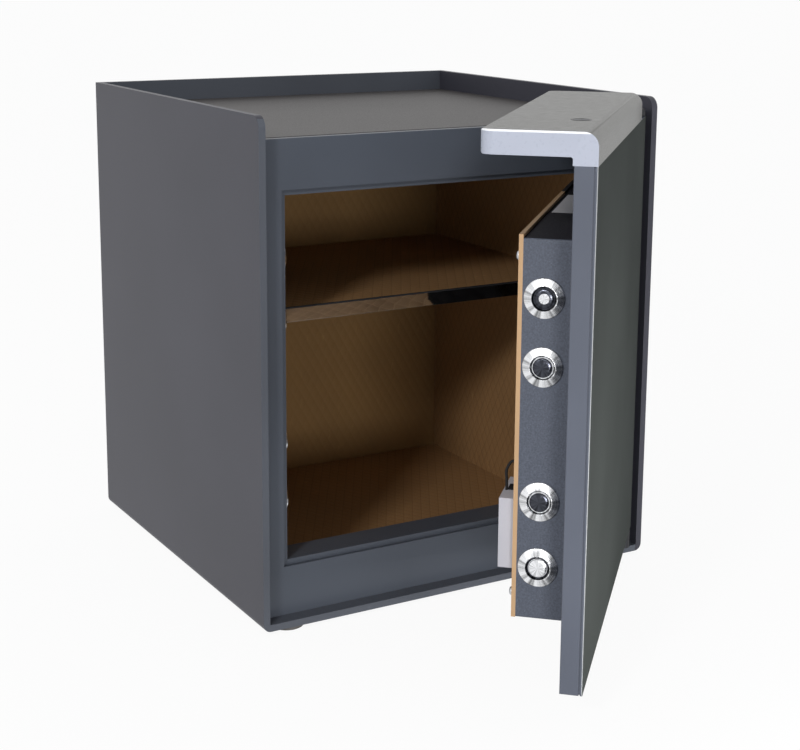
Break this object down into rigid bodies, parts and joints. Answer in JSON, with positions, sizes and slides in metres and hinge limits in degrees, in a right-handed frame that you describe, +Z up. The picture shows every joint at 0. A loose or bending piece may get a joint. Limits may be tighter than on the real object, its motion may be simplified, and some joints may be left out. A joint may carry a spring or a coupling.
{
  "type": "biometric safe",
  "caption": "Small security safe with a side-hinged door, a grip cap with a fingerprint reader, sliding chrome bolts, a felt-lined interior with a shelf, and a top tray.",
  "frame": {"origin": "centre of the four floor anchor holes, in the underside of the base sheet, which is also the middle of the cabinet's width and depth", "axes": "+X to the hinge side, +Y from the door to the rear, +Z up"},
  "size_m": [0.46, 0.7391, 0.5123],
  "materials": {
    "cabinet_paint": "satin grey powder coat",
    "frame_paint": "satin grey powder coat",
    "body_steel": "primer grey",
    "felt": "brown felt",
    "mirror_trim": "polished",
    "zinc_steel": "zinc plated",
    "pin_steel": "ground",
    "washer_brass": "plain",
    "strike_chrome": "polished",
    "bolt_chrome": "turned and polished",
    "foot_rubber": "matt",
    "door_paint": "satin grey powder coat",
    "cap_aluminium": "satin anodised",
    "sensor_ring": "dark plated",
    "sensor_glass": "dark gloss",
    "case_paint": "light grey",
    "board_plastic": "tan",
    "actuator_case": "black",
    "circuit_green": "solder mask",
    "battery_plastic": "pale grey",
    "lead_black": "black"
  },
  "bodies": {
    "cabinet": {"outer_shell": "cabinet_paint", "rear_panel": "cabinet_paint", "top_tray": "cabinet_paint", "front_frame": "frame_paint", "throat_left": "frame_paint", "throat_right": "frame_paint", "throat_sill": "frame_paint", "throat_head": "frame_paint", "body_left": "body_steel", "body_right": "body_steel", "body_back": "body_steel", "body_floor": "body_steel", "body_ceiling": "body_steel", "lining_left": "felt", "lining_right": "felt", "lining_back": "felt", "lining_ceiling": "felt", "floor_mat": "felt", "shelf": "felt", "shelf_trim": "mirror_trim", "shelf_brackets": "zinc_steel", "strike_rings": "strike_chrome", "feet": "foot_rubber", "hinge_bracket_top": "zinc_steel", "hinge_bracket_bottom": "zinc_steel", "hinge_pin_top": "pin_steel", "hinge_pin_bottom": "pin_steel", "thrust_washer": "washer_brass"},
    "door": {"door_face": "door_paint", "door_pan": "door_paint", "door_plate": "door_paint", "grip_cap": "cap_aluminium", "sensor_ring": "sensor_ring", "sensor_lens": "sensor_glass", "lock_case": "case_paint", "cover_board": "board_plastic", "cover_screws": "zinc_steel", "rosettes": "bolt_chrome", "guide_studs": "zinc_steel", "actuator": "actuator_case", "circuit_board": "circuit_green", "battery_box": "battery_plastic", "lead_grommet": "lead_black", "battery_lead": "lead_black"},
    "bolt_carriage": {"bolts": "bolt_chrome", "bolt_bar": "zinc_steel", "actuator_rod": "pin_steel"},
    "battery_lid": {"battery_lid": "battery_plastic"}
  },
  "joints": [
    {"name": "door_hinge", "type": "hinge", "parent": "cabinet", "child": "door", "pos_m": [0.207, -0.212, 0.25], "axis": [0, 0, 1], "range_deg": [-46.4, 58.6]},
    {"name": "bolt_slide", "type": "slide", "parent": "door", "child": "bolt_carriage", "axis": [-0.6896, -0.7242, 0], "range_m": [0, 0.032]},
    {"name": "battery_lid_slide", "type": "slide", "parent": "door", "child": "battery_lid", "axis": [0, 0, -1], "range_m": [0, 0.04]}
  ]
}
